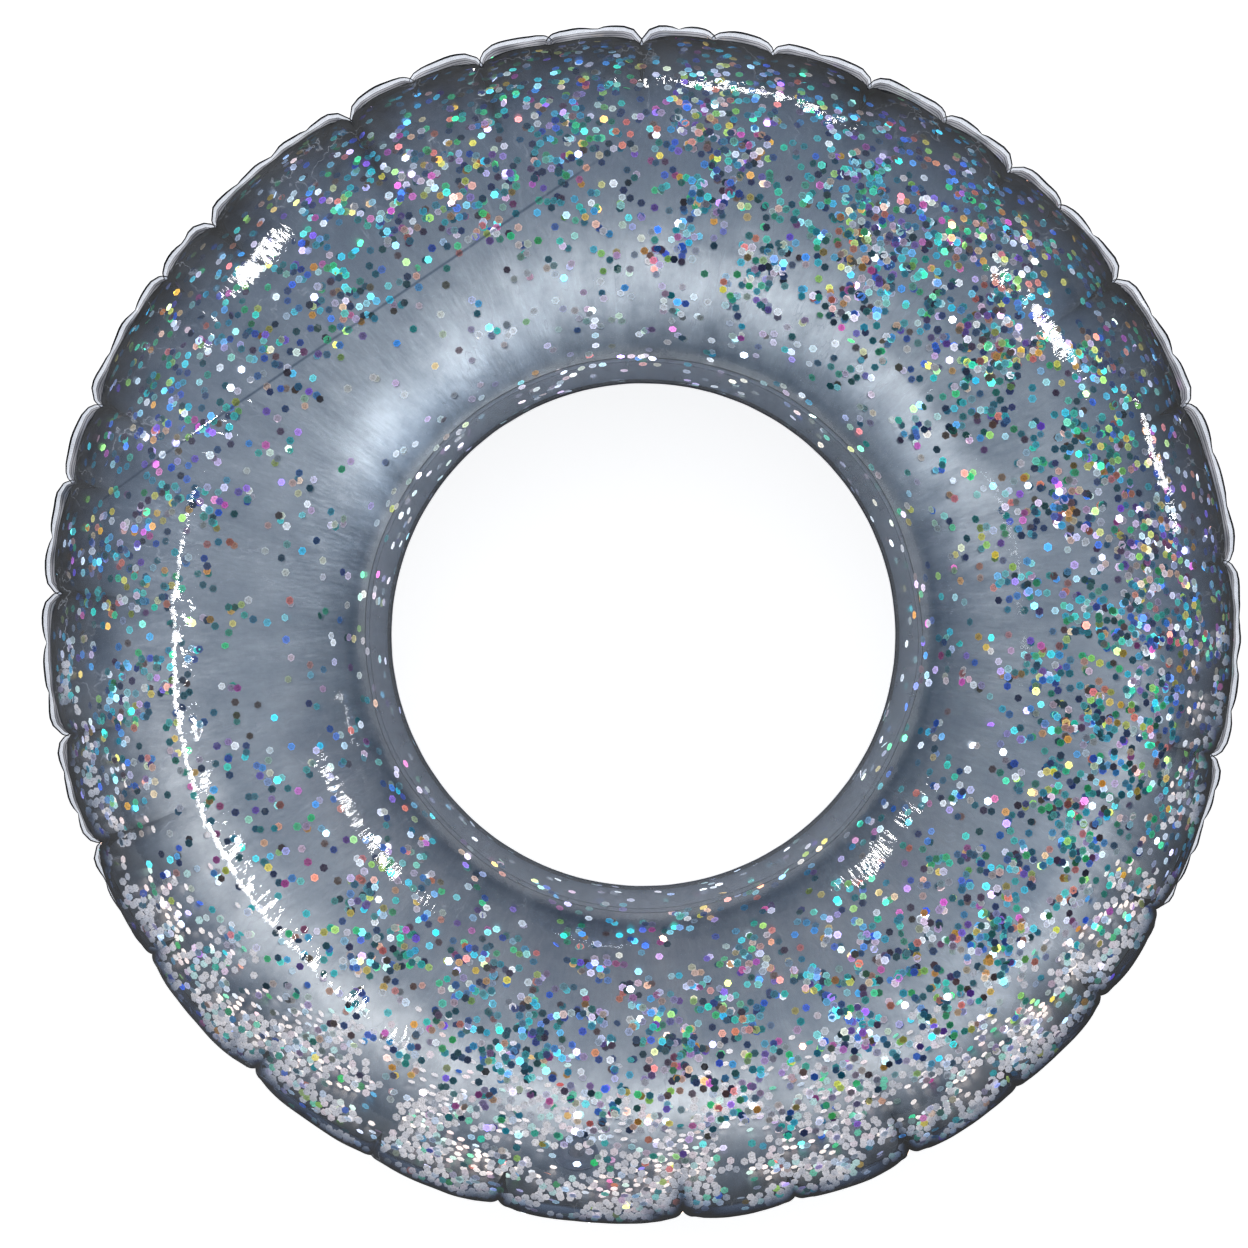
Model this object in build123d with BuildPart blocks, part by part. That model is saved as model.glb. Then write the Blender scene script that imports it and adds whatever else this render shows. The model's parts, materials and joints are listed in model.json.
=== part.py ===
from build123d import *
from math import asin, cos, degrees, radians, sin
import os

# A clear inflatable swim ring, in millimetres. It lies flat, with its axis on Z and the origin in the
# middle of its underside, on the surface that it rests on. Two rings of film are welded together round
# the hole and round the outside. Loose glitter is inside, and the inflation valve is low on one side.

# ---------------------------------------------------------------- driving dimensions
OUTER_DIAMETER = 1070.0  # over the outer weld strip, blown up
HOLE_DIAMETER = 450.0
FILM = 0.4
REST_WIDTH = 10.0  # how wide the underside is flattened by the ring's weight

OUTER_STRIP_WIDTH = 12.0
INNER_STRIP_WIDTH = 19.0  # of the fused strip, which is turned into the tube
INNER_STRIP_SINGLE = 4.0  # the lower film's edge runs on past the upper film's by this

FLAKE_ACROSS_FLATS = 6.35
FLAKE_THICKNESS = 0.05
FLAKE_COUNT = 200
FLAKE_GAP = 0.15  # from the film to a flake's middle, so that its corners stay clear
FLAKE_BAND = 100.0  # flakes lie up to this many degrees either side of the outer weld

VALVE_TURN = -97.0  # degrees round the ring from +X
VALVE_TILT = -40.0  # degrees from the horizontal, as seen from the tube's middle
VALVE_KEEP_OUT = 30.0  # no flake lies nearer than this to the valve's axis

BASE_RADIUS = 21.0
BASE_THICKNESS = 1.2
BASE_OPENING_RADIUS = 12.0
FILM_OPENING_RADIUS = 15.0
STEM_RADIUS = 7.0
STEM_LENGTH = 22.0
STEM_PROUD = 3.0  # how far the stem's mouth stands out of the film when it is pushed in
LIP_RADIUS = 8.5
LIP_THICKNESS = 2.0
RIB_RADIUS = 8.0
RIB_THICKNESS = 2.0
BORE_RADIUS = 4.3
BORE_DEPTH = 16.0
SEAT_RADIUS = 3.0
SEAT_LENGTH = 3.8
GUARD_RADIUS = 6.2
DIAPHRAGM_GAP = 0.35  # from the diaphragm's hole to the stem
DIAPHRAGM_THICKNESS = 0.9
DIAPHRAGM_DISH = 2.4  # how far the web is drawn in by the pushed-in stem
WELD_GAP = 0.05

FLAP_RADIUS = 5.4
FLAP_THICKNESS = 0.8
FLAP_GAP = 0.1
FLAP_LUG_END = 5.8
FLAP_LUG_WIDTH = 2.4

HEAD_RADIUS = 7.5
HEAD_THICKNESS = 2.0
HEAD_GAP = 0.05
PLUG_TOP_RADIUS = 4.2
PLUG_TIP_RADIUS = 2.4
PLUG_DEPTH = 6.0
HINGE_REACH = 9.5  # from the stem's axis to the line that the plug swings about
HINGE_RISE = 0.9  # of that line above the stem's mouth
ARM_WIDTH = 5.0
ARM_THICKNESS = 1.2
PULL_REACH = 11.5
PULL_WIDTH = 6.0
PULL_THICKNESS = 1.4
TETHER_RING_RADIUS = 8.6
TETHER_RING_THICKNESS = 0.9
TETHER_POST_THICKNESS = 0.8

# ---------------------------------------------------------------- the tube's section
outer_radius = OUTER_DIAMETER / 2
tube_outer = outer_radius - OUTER_STRIP_WIDTH
tube_inner = HOLE_DIAMETER / 2
tube_middle = (tube_outer + tube_inner) / 2
upper_arc = (tube_outer - tube_inner) / 2
lower_arc = upper_arc - REST_WIDTH / 2
seam_height = lower_arc
outer_foot = tube_middle + REST_WIDTH / 2
inner_foot = tube_middle - REST_WIDTH / 2

PARTS = "parts"
os.makedirs(PARTS, exist_ok=True)


def save(part, label):
    """Labels one finished piece and writes it as its own STEP file."""
    part.label = label
    export_step(part, f"{PARTS}/{label}.step")


def section_plane(turn):
    """The upright plane through the ring's axis, turned this many degrees from +X."""
    across = Vector(cos(radians(turn)), sin(radians(turn)), 0)
    return Plane((0, 0, 0), x_dir=across, z_dir=across.cross(Vector(0, 0, 1)))


def wall_plane(turn, tilt, depth=0.0):
    """A plane that touches the film's outer face, or lies this deep inside it, and faces outwards."""
    across = Vector(cos(radians(turn)), sin(radians(turn)), 0)
    outwards = across * cos(radians(tilt)) + Vector(0, 0, sin(radians(tilt)))
    if tilt >= 0:
        middle, arc = tube_middle, upper_arc
    else:
        middle = outer_foot if cos(radians(tilt)) >= 0 else inner_foot
        arc = lower_arc
    centre = across * middle + Vector(0, 0, seam_height)
    return Plane(centre + outwards * (arc - depth), x_dir=Vector(0, 0, 1).cross(across), z_dir=outwards)


def lower_outline(inset):
    """The lower half of the tube's outline, moved this far into the tube."""
    CenterArc((inner_foot, seam_height), lower_arc - inset, 180, 90)
    Line((inner_foot, inset), (outer_foot, inset))
    CenterArc((outer_foot, seam_height), lower_arc - inset, 270, 90)


valve_plane = wall_plane(VALVE_TURN, VALVE_TILT)

# ---------------------------------------------------------------- film panels
with BuildPart() as upper_panel:
    with BuildSketch(Plane.XZ):
        with BuildLine():
            CenterArc((tube_middle, seam_height), upper_arc, 0, 180)
            CenterArc((tube_middle, seam_height), upper_arc - FILM, 0, 180)
            Line((tube_outer - FILM, seam_height), (tube_outer, seam_height))
            Line((tube_inner, seam_height), (tube_inner + FILM, seam_height))
        make_face()
    revolve(axis=Axis.Z)
save(upper_panel.part, "upper_panel")

with BuildPart() as lower_panel:
    with BuildSketch(Plane.XZ):
        with BuildLine():
            lower_outline(0)
            lower_outline(FILM)
            Line((tube_outer - FILM, seam_height), (tube_outer, seam_height))
            Line((tube_inner, seam_height), (tube_inner + FILM, seam_height))
        make_face()
    revolve(axis=Axis.Z)
    with BuildSketch(valve_plane):
        Circle(FILM_OPENING_RADIUS)
    extrude(amount=BASE_RADIUS, both=True, mode=Mode.SUBTRACT)
save(lower_panel.part, "lower_panel")

# ---------------------------------------------------------------- weld strips
with BuildPart() as outer_weld_strip:
    with BuildSketch(Plane.XZ):
        with Locations(((tube_outer + outer_radius) / 2, seam_height)):
            Rectangle(OUTER_STRIP_WIDTH, 2 * FILM)
    revolve(axis=Axis.Z)
save(outer_weld_strip.part, "outer_weld_strip")

strip_start = tube_inner + FILM + WELD_GAP
strip_end = strip_start + INNER_STRIP_WIDTH
with BuildPart() as inner_weld_strip:
    with BuildSketch(Plane.XZ):
        with BuildLine():
            Polyline(
                (strip_start, seam_height - FILM),
                (strip_end + INNER_STRIP_SINGLE, seam_height - FILM),
                (strip_end + INNER_STRIP_SINGLE, seam_height),
                (strip_end, seam_height),
                (strip_end, seam_height + FILM),
                (strip_start, seam_height + FILM),
                close=True,
            )
        make_face()
    revolve(axis=Axis.Z)
save(inner_weld_strip.part, "inner_weld_strip")

# ---------------------------------------------------------------- loose glitter
GOLDEN_TURN = 137.508  # degrees, which spreads the flakes evenly
with BuildPart() as glitter_flakes:
    for i in range(FLAKE_COUNT):
        tilt = FLAKE_BAND * (2 * (i + 0.5) / FLAKE_COUNT - 1)
        plane = wall_plane(i * GOLDEN_TURN, tilt, FILM + FLAKE_GAP)
        if (plane.origin - valve_plane.origin).length < VALVE_KEEP_OUT:
            continue
        with BuildSketch(plane):
            RegularPolygon(FLAKE_ACROSS_FLATS / 2, 6, major_radius=False)
    extrude(amount=-FLAKE_THICKNESS)
save(glitter_flakes.part, "glitter_flakes")

# ---------------------------------------------------------------- inflation valve
# Each piece is a turned shape about the valve's axis: across is the distance from that axis, and up is
# the height above the film's outer face, outwards.
turned_plane = Plane(valve_plane.origin, x_dir=valve_plane.x_dir, z_dir=-valve_plane.y_dir)
valve_axis = Axis(valve_plane.origin, valve_plane.z_dir)
base_span = 4 * degrees(asin(BASE_RADIUS / tube_outer))

with BuildPart() as valve_base:
    with BuildSketch(section_plane(VALVE_TURN - base_span / 2)):
        with BuildLine():
            CenterArc((outer_foot, seam_height), lower_arc - FILM, 270, 90)
            CenterArc((outer_foot, seam_height), lower_arc - FILM - BASE_THICKNESS, 270, 90)
            Line((outer_foot, FILM), (outer_foot, FILM + BASE_THICKNESS))
            Line((tube_outer - FILM - BASE_THICKNESS, seam_height), (tube_outer - FILM, seam_height))
        make_face()
    revolve(axis=Axis.Z, revolution_arc=base_span)
    with BuildSketch(valve_plane):
        Circle(BASE_RADIUS)
        Circle(BASE_OPENING_RADIUS, mode=Mode.SUBTRACT)
    extrude(amount=BASE_RADIUS, both=True, mode=Mode.INTERSECT)
save(valve_base.part, "valve_base")

web_outer = BASE_OPENING_RADIUS - WELD_GAP
web_inner = STEM_RADIUS + DIAPHRAGM_GAP
web_top = -FILM - BASE_THICKNESS / 2
with BuildPart() as valve_diaphragm:
    with BuildSketch(turned_plane):
        with BuildLine():
            Polyline(
                (web_outer, web_top),
                (web_outer, web_top - DIAPHRAGM_THICKNESS),
                (web_inner, web_top - DIAPHRAGM_THICKNESS - DIAPHRAGM_DISH),
                (web_inner, web_top - DIAPHRAGM_DISH),
                close=True,
            )
        make_face()
    revolve(axis=valve_axis)
save(valve_diaphragm.part, "valve_diaphragm")

stem_foot = STEM_PROUD - STEM_LENGTH
bore_foot = STEM_PROUD - BORE_DEPTH
seat_foot = bore_foot - SEAT_LENGTH
with BuildPart() as valve_stem:
    with BuildSketch(turned_plane):
        with BuildLine():
            Polyline(
                (BORE_RADIUS, STEM_PROUD),
                (LIP_RADIUS, STEM_PROUD),
                (LIP_RADIUS, STEM_PROUD - LIP_THICKNESS),
                (STEM_RADIUS, STEM_PROUD - LIP_THICKNESS),
                (STEM_RADIUS, stem_foot + RIB_THICKNESS),
                (RIB_RADIUS, stem_foot + RIB_THICKNESS),
                (RIB_RADIUS, stem_foot),
                (GUARD_RADIUS, stem_foot),
                (GUARD_RADIUS, seat_foot),
                (SEAT_RADIUS, seat_foot),
                (SEAT_RADIUS, bore_foot),
                (BORE_RADIUS, bore_foot),
                close=True,
            )
        make_face()
    revolve(axis=valve_axis)
save(valve_stem.part, "valve_stem")

flap_top = seat_foot - FLAP_GAP
with BuildPart() as valve_flap:
    with BuildSketch(valve_plane.offset(flap_top)):
        Circle(FLAP_RADIUS)
        with Locations((-FLAP_LUG_END / 2, 0)):
            Rectangle(FLAP_LUG_END, FLAP_LUG_WIDTH)
    extrude(amount=-FLAP_THICKNESS)
save(valve_flap.part, "valve_flap")

head_foot = STEM_PROUD + HEAD_GAP
hinge_height = STEM_PROUD + HINGE_RISE
with BuildPart() as valve_plug:
    with BuildSketch(turned_plane):
        with BuildLine():
            Polyline(
                (0, STEM_PROUD - PLUG_DEPTH),
                (PLUG_TIP_RADIUS, STEM_PROUD - PLUG_DEPTH),
                (PLUG_TOP_RADIUS, head_foot),
                (HEAD_RADIUS, head_foot),
                (HEAD_RADIUS, head_foot + HEAD_THICKNESS),
                (0, head_foot + HEAD_THICKNESS),
                close=True,
            )
        make_face()
    revolve(axis=valve_axis)
    with BuildSketch(valve_plane.offset(head_foot + HEAD_THICKNESS)):
        with Locations((PULL_REACH / 2, 0)):
            Rectangle(PULL_REACH, PULL_WIDTH)
    extrude(amount=-PULL_THICKNESS)
    with BuildSketch(valve_plane.offset(hinge_height + ARM_THICKNESS / 2)):
        with Locations((-HINGE_REACH / 2, 0)):
            Rectangle(HINGE_REACH, ARM_WIDTH)
    extrude(amount=-ARM_THICKNESS)
save(valve_plug.part, "valve_plug")

tether_top = STEM_PROUD - LIP_THICKNESS - WELD_GAP
post_top = hinge_height - ARM_THICKNESS / 2 - 2 * WELD_GAP
with BuildPart() as plug_tether:
    with BuildSketch(valve_plane.offset(tether_top)):
        Circle(TETHER_RING_RADIUS)
        with Locations((-HINGE_REACH / 2, 0)):
            Rectangle(HINGE_REACH + TETHER_POST_THICKNESS, ARM_WIDTH)
        Circle(STEM_RADIUS + WELD_GAP, mode=Mode.SUBTRACT)
    extrude(amount=-TETHER_RING_THICKNESS)
    with BuildSketch(valve_plane.offset(post_top)):
        with Locations((-HINGE_REACH, 0)):
            Rectangle(TETHER_POST_THICKNESS, ARM_WIDTH)
    extrude(until=Until.NEXT, target=plug_tether.part, dir=-valve_plane.z_dir)
save(plug_tether.part, "plug_tether")
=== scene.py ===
import json
import math

import bmesh
import bpy
import numpy as np
from mathutils import Matrix, Vector


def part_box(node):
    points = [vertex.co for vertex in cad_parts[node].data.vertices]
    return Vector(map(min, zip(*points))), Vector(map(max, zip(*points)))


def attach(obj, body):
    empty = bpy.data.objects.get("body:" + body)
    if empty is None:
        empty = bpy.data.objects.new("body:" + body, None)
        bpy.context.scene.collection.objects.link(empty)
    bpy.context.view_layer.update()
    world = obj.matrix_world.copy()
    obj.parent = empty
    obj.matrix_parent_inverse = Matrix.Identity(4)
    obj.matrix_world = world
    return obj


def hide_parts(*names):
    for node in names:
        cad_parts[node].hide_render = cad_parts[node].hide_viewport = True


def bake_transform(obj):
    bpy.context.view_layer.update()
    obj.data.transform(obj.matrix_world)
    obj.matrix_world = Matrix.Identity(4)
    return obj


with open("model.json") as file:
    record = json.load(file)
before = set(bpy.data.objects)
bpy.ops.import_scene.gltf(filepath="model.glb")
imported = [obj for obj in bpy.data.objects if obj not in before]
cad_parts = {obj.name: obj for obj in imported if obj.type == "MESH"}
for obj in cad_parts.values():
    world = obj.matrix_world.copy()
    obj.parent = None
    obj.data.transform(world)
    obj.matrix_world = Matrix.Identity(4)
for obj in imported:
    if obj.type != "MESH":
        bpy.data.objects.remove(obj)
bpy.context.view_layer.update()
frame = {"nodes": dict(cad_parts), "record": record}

MM = 0.001
TAU = 2 * math.pi
waves = np.random.default_rng(312)


# ---- sizes from the frame
def reach(node):
    """The least and greatest distance of a CAD node from the ring's axis."""
    spread = [math.hypot(v.co.x, v.co.y) for v in frame["nodes"][node].data.vertices]
    return min(spread), max(spread)


upper_low, upper_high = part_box("upper_panel")
hole_radius, tube_outer = reach("upper_panel")
rim_radius = reach("outer_weld_strip")[1]
fold_end = reach("inner_weld_strip")[1]
seam = upper_low[2]
upper_height = upper_high[2] - seam
FOOT_SINK = 0.3 * MM  # the lower film is drawn this much too deep and then flattened on the floor
lower_height = seam + FOOT_SINK
film_opening = 15 * MM  # radius of the lower film's opening for the valve

port = next(m for m in frame["record"]["mounts"] if m["name"] == "inflation_port")
STEM_PROUD = 3 * MM
valve_out = Vector(port["axis"]).normalized()
valve_across = Vector((0, 0, 1)).cross(valve_out).normalized()
valve_side = valve_out.cross(valve_across)
valve_origin = Vector(port["pos_m"]) - valve_out * STEM_PROUD
valve_turn = math.atan2(valve_origin.y, valve_origin.x)
valve_reach = math.hypot(valve_origin.x, valve_origin.y)
valve_tilt = math.asin(valve_out.z)
VALVE_CALM = 45 * MM  # round the valve, the film lies true within this
VALVE_STEPS = np.arange(-18, 18.1, 1.5) * MM  # more points of the film here, for a round opening

# ---- the film's shape
HOLE_SHIFT = (1.7 * MM, -9.8 * MM)  # the hole isn't quite in the middle
RING_STEPS = 600
LEAST_STEP = 0.3 * MM  # closer turns round the ring are left out
UPPER_STEPS, LOWER_STEPS = 88, 68
TUCK_SAMPLES = (0, 0.7, 1.5, 2.6, 4.2, 6.5)  # mm either side of a tuck, where the film bends most

# Each tuck of the outer weld: turn (degrees), how deep the weld is drawn in (mm), and
# how far its crease runs over the tube (mm).
TUCKS = (
    (6, 8, 40), (22, 9, 55), (36, 12, 70), (45, 4, 25), (51, 11, 60), (59, 6, 30), (67, 10, 60),
    (77, 9, 50), (83, 4, 25), (90, 15, 60), (99, 4, 30), (106, 12, 75), (113, 4, 25), (120, 16, 90),
    (137, 13, 70), (144, 7, 35), (158, 11, 70), (166, 8, 50), (177, 12, 80), (191, 12, 60),
    (202, 13, 80), (214, 8, 50), (229, 10, 70), (243, 5, 40), (256, 9, 60), (274, 12, 80),
    (285, 9, 50), (297, 12, 90), (309, 6, 40), (321, 9, 60), (331, 10, 50), (347, 11, 60),
)
TUCK_HALF_WIDTH = 2.4 * MM
TUCK_SPREAD = 0.045  # how fast a crease widens with the distance from the weld
CREASE_REACH = 2.1  # a crease runs this much further round the tube than it looks from above
TUCK_VALLEY = 0.6  # depth of the crease, as a share of the depth that the weld is drawn in
BRANCH_SLANT = 0.42
BRANCH_SHARE = 0.30
NOTCH_WIDTH = 4.2 * MM
NOTCH_SHARE = 1.8  # the weld is drawn in by this many times the depth listed above
NOTCH_POWER = 1.15
NOTCH_FADE = 10 * MM
HELD_REACH = 14 * MM  # the outer weld holds the film in over about this much
LEAN_IN = 1.0 * MM  # the film leaves the outer weld leaning inwards by this much
LEAN_REACH = 90 * MM
PILLOW_HEIGHT = 3.4 * MM
PILLOW_WIDTH = 24 * MM
PILLOW_START = 30 * MM
SIDE_TURN, SIDE_HALF = -92, 66  # degrees: the -Y side, where the glitter has slid
BELLY = 12 * MM  # the upper film bulges over the outer weld there
BELLY_REACH = 160 * MM
TOP_ROOM = 2.5 * MM  # the upper film's crown lies this much low, which leaves room for its swelling
HOLE_CALM = 40 * MM  # the hole's weld is tight, so the film stays smooth this near to it
CRINKLE_REACH = 60 * MM

# Long soft ridges round the tube: first and last turn, tilt, half-width (degrees), and height (mm).
RIDGES = (
    (150, 236, 78, 2.2, 1.1),
    (-30, 40, 66, 2.6, 0.7),
    (60, 128, 62, 2.8, 0.6),
    (236, 300, 70, 3.0, 0.6),
    (-60, 20, 118, 2.5, 0.8),
    (100, 170, 112, 3.0, 0.5),
)

PUCKER_LINES = ((148, 250, 77, 13), (55, 112, 47, 13))  # first and last turn, tilt, half-width (degrees)
PUCKER_LEAST = 0.38
FULL_CREASE_SHADE_DEPTH = 3.5  # mm deep: a tuck crease this deep gets the full painted shade


def wrapped(angle):
    """An angle brought to within half a turn of zero."""
    return (np.asarray(angle) + math.pi) % TAU - math.pi


def low_side(turn):
    """1 over the -Y side of the ring, falling smoothly to 0 elsewhere."""
    return np.exp(-((np.degrees(wrapped(turn - math.radians(SIDE_TURN))) / SIDE_HALF) ** 4))


def wave_set(count, rounds, cycles, height):
    """Random waves over the tube, as rows of rounds, cycles, phase and height. All of them close up."""
    rows = []
    for _ in range(count):
        rows.append((
            waves.integers(rounds[0], rounds[1]),
            waves.integers(cycles[0], cycles[1]) * waves.choice((-1, 1)),
            waves.uniform(0, TAU),
            height * waves.uniform(0.5, 1.0) / math.sqrt(count),
        ))
    return rows


CRINKLE_HEIGHT = 0.30 * MM
LUMPS = wave_set(26, (2, 11), (0, 4), 2.2 * MM)
RIPPLES = wave_set(40, (16, 60), (2, 12), 0.32 * MM)
CRINKLES = wave_set(30, (60, 150), (0, 9), CRINKLE_HEIGHT)


def rolling(turn, tilt, rows):
    """The sum of a set of waves."""
    total = np.zeros(np.broadcast(turn, tilt).shape)
    for rounds, cycles, phase, height in rows:
        total += height * np.cos(rounds * turn + cycles * tilt + phase)
    return total


def notch(turn):
    """How far the outer weld is drawn in by the tucks."""
    total = np.zeros(np.shape(turn))
    for degrees, depth, _ in TUCKS:
        away = np.abs(wrapped(turn - math.radians(degrees))) * tube_outer
        width = NOTCH_WIDTH * (0.5 + depth / 20)
        total += NOTCH_SHARE * depth * MM * np.exp(-(away / width) ** NOTCH_POWER)
    return total


def creases(turn, tilt, along):
    """The valleys that run from the tucks over the tube, each with a faint branch on either side."""
    total = np.zeros(np.broadcast(turn, tilt).shape)
    for degrees, depth, length in TUCKS:
        away = wrapped(turn - math.radians(degrees)) * tube_outer
        fade = np.clip(1 - along / (length * CREASE_REACH * MM), 0, 1) ** 1.4
        width = TUCK_HALF_WIDTH + TUCK_SPREAD * along
        valley = depth * MM * TUCK_VALLEY * fade
        total += valley * np.exp(-np.abs(away) / width)
        for side in (-1, 1):
            branch = np.abs(away - side * BRANCH_SLANT * along)
            total += BRANCH_SHARE * valley * np.exp(-branch / width)
    return total


def pillows(turn, along):
    """The film swells between the tucks."""
    lobe = np.ones(np.shape(turn))
    for degrees, depth, _ in TUCKS:
        away = wrapped(turn - math.radians(degrees)) * tube_outer
        lobe *= 1 - min(1, depth / 10) * np.exp(-((away / PILLOW_WIDTH) ** 2))
    return PILLOW_HEIGHT * lobe * np.exp(-(((along - PILLOW_START) / PILLOW_START) ** 2))


def ridges(turn, tilt):
    """Long soft ridges, which fade out at their ends."""
    total = np.zeros(np.broadcast(turn, tilt).shape)
    for first, last, at, width, height in RIDGES:
        half = math.radians(last - first) / 2
        along = wrapped(turn - math.radians((first + last) / 2)) / half
        wander = 0.025 * np.sin(5 * turn + first)
        across = (tilt - math.radians(at) - wander) / math.radians(width)
        total += height * MM * np.clip(1 - along ** 4, 0, 1) * np.exp(-across ** 2)
    return total


def puckers(turn, tilt):
    """How crumpled the film is: most along a few lines round the ring."""
    most = np.zeros(np.shape(turn))
    for first, last, at, width in PUCKER_LINES:
        half = math.radians(last - first) / 2
        along = wrapped(turn - math.radians((first + last) / 2)) / half
        across = (np.degrees(tilt) - at) / width
        most = np.maximum(most, np.clip(1.2 - along ** 4, 0, 1) * np.exp(-across ** 2))
    return PUCKER_LEAST + (1 - PUCKER_LEAST) * most


def off_valve(turn, tilt):
    """0 at the valve, where the film is stiff and lies true, and 1 away from it."""
    round_ring = wrapped(turn - valve_turn) * valve_reach
    return 1 - np.exp(-(np.hypot(round_ring, (tilt - valve_tilt) * lower_height) / VALVE_CALM) ** 4)


def wall(turn, tilt, inside=0.0):
    """Points on the film at these turns and tilts, moved this far into the tube."""
    hole = hole_radius + HOLE_SHIFT[0] * np.cos(turn) + HOLE_SHIFT[1] * np.sin(turn)
    half, middle = (tube_outer - hole) / 2, (tube_outer + hole) / 2
    along = np.abs(tilt) * half
    to_hole = np.abs(math.pi - np.abs(tilt)) * half
    calm = np.clip(to_hole / HOLE_CALM, 0, 1)
    swell = rolling(turn, tilt, LUMPS) * calm + rolling(turn, tilt, RIPPLES) * (0.3 + 0.7 * calm)
    swell = swell + rolling(turn, tilt, CRINKLES) * np.exp(-along / CRINKLE_REACH)
    swell = swell + pillows(turn, along) + ridges(turn, tilt)
    held = 1 - np.exp(-along / HELD_REACH)
    belly = BELLY * low_side(turn) * np.exp(-along / BELLY_REACH) * (tilt > 0)
    swell = (swell + belly) * held - creases(turn, tilt, along)
    swell = (swell - LEAN_IN * held * np.exp(-along / LEAN_REACH)) * off_valve(turn, tilt)
    height = np.where(tilt >= 0, upper_height - TOP_ROOM, lower_height)
    radius = middle + (half + swell - inside) * np.cos(tilt) - notch(turn) * np.exp(-along / NOTCH_FADE)
    level = seam + (height + swell - inside) * np.sin(tilt)
    level = np.maximum(level, inside)
    return np.stack([radius * np.cos(turn), radius * np.sin(turn), level], axis=-1)


def ring_turns():
    """Turns round the ring, closer together at the tucks and at the valve."""
    turns = list(np.linspace(0, TAU, RING_STEPS, endpoint=False))
    for degrees, _, _ in TUCKS:
        for away in TUCK_SAMPLES:
            for side in (-1, 1):
                turns.append((math.radians(degrees) + side * away * MM / tube_outer) % TAU)
    turns += list((valve_turn + VALVE_STEPS / valve_reach) % TAU)
    turns.sort()
    kept = [turns[0]]
    for turn in turns[1:]:
        if (turn - kept[-1]) * tube_outer > LEAST_STEP:
            kept.append(turn)
    return np.array(kept)


# ---- mesh helpers
def mesh_piece(name, points, faces, materials, bands=None):
    """A smooth-shaded piece from points and faces. bands gives each face its material's place."""
    mesh = bpy.data.meshes.new(name)
    mesh.from_pydata([tuple(p) for p in points], [], faces)
    for material in materials:
        mesh.materials.append(material)
    mesh.polygons.foreach_set("use_smooth", [True] * len(mesh.polygons))
    if bands is not None:
        mesh.polygons.foreach_set("material_index", bands)
    mesh.update()
    piece = bpy.data.objects.new(name, mesh)
    bpy.context.scene.collection.objects.link(piece)
    return piece


def add_attribute(piece, name, kind, values):
    """Keeps a value for each point of a piece: kind is FLOAT, FLOAT_VECTOR or FLOAT_COLOR."""
    made = piece.data.attributes.new(name, kind, "POINT")
    field = {"FLOAT": "value", "FLOAT_VECTOR": "vector", "FLOAT_COLOR": "color"}[kind]
    made.data.foreach_set(field, np.ravel(values))


def sheet_faces(rows, columns, loop_rows):
    """Quads over a grid whose columns close up, and whose rows do too if loop_rows is true."""
    faces = []
    for i in range(rows if loop_rows else rows - 1):
        low, high = i * columns, (i + 1) % rows * columns
        for j in range(columns):
            k = (j + 1) % columns
            faces.append((low + j, low + k, high + k, high + j))
    return faces


def unit_rows(rows):
    """Rows scaled to a length of 1."""
    return rows / np.linalg.norm(rows, axis=1)[:, None]


def square_to(rows, normals):
    """Rows of length 1, turned square to the normals."""
    return unit_rows(rows - normals * np.sum(rows * normals, axis=1)[:, None])


def finish_piece(piece, body, slot, *nodes):
    """Sets what a piece rides on and hides the CAD nodes that it stands for. slot is not used."""
    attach(piece, body)
    if nodes:
        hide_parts(*nodes)
    return piece


# ---- materials
def new_material(name):
    """An empty node material, with its output."""
    material = bpy.data.materials.new(name)
    material.use_nodes = True
    material.node_tree.nodes.clear()
    return material, material.node_tree, material.node_tree.nodes.new("ShaderNodeOutputMaterial")


def feed(tree, socket, term):
    """Sets a node's input to a value, or links it to another node's output."""
    if isinstance(term, bpy.types.NodeSocket):
        tree.links.new(term, socket)
    else:
        socket.default_value = term


def node(tree, kind, **settings):
    """A node with its properties and, by name, its inputs set or linked."""
    made = tree.nodes.new(kind)
    for key, value in settings.items():
        if key.startswith("in_"):
            feed(tree, made.inputs[key[3:].replace("_", " ")], value)
        else:
            setattr(made, key, value)
    return made


def math_node(tree, operation, *terms):
    """A math node's result. Each term is a number or a socket."""
    made = node(tree, "ShaderNodeMath", operation=operation)
    for place, term in enumerate(terms):
        feed(tree, made.inputs[place], term)
    return made.outputs[0]


def times(tree, first, second):
    """A product. Each term is a number or a socket."""
    return math_node(tree, "MULTIPLY", first, second)


def plus(tree, first, second):
    """A sum. Each term is a number or a socket."""
    return math_node(tree, "ADD", first, second)


def less(tree, first, second):
    """A difference. Each term is a number or a socket."""
    return math_node(tree, "SUBTRACT", first, second)


def mix_shader(tree, *terms):
    """A mix of two shaders, from the second's share and the two of them."""
    made = tree.nodes.new("ShaderNodeMixShader")
    for place, term in enumerate(terms):
        feed(tree, made.inputs[place], term)
    return made.outputs[0]


def mix_colours(tree, blend, *terms):
    """A blend of two colours, from the blend's share and the two of them."""
    made = node(tree, "ShaderNodeMix", data_type="RGBA", blend_type=blend)
    for place, term in zip((0, 6, 7), terms):  # where the sockets for colours are
        feed(tree, made.inputs[place], term)
    return made.outputs[2]


def bumped(tree, height, strength, distance):
    """The surface's direction where a bump of this height, strength and distance lies on it."""
    made = node(tree, "ShaderNodeBump", in_Strength=strength, in_Distance=distance, in_Height=height)
    return made.outputs[0]


def kept_value(tree, name):
    """The number that a mesh keeps under a name."""
    return node(tree, "ShaderNodeAttribute", attribute_name=name).outputs["Fac"]


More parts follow.
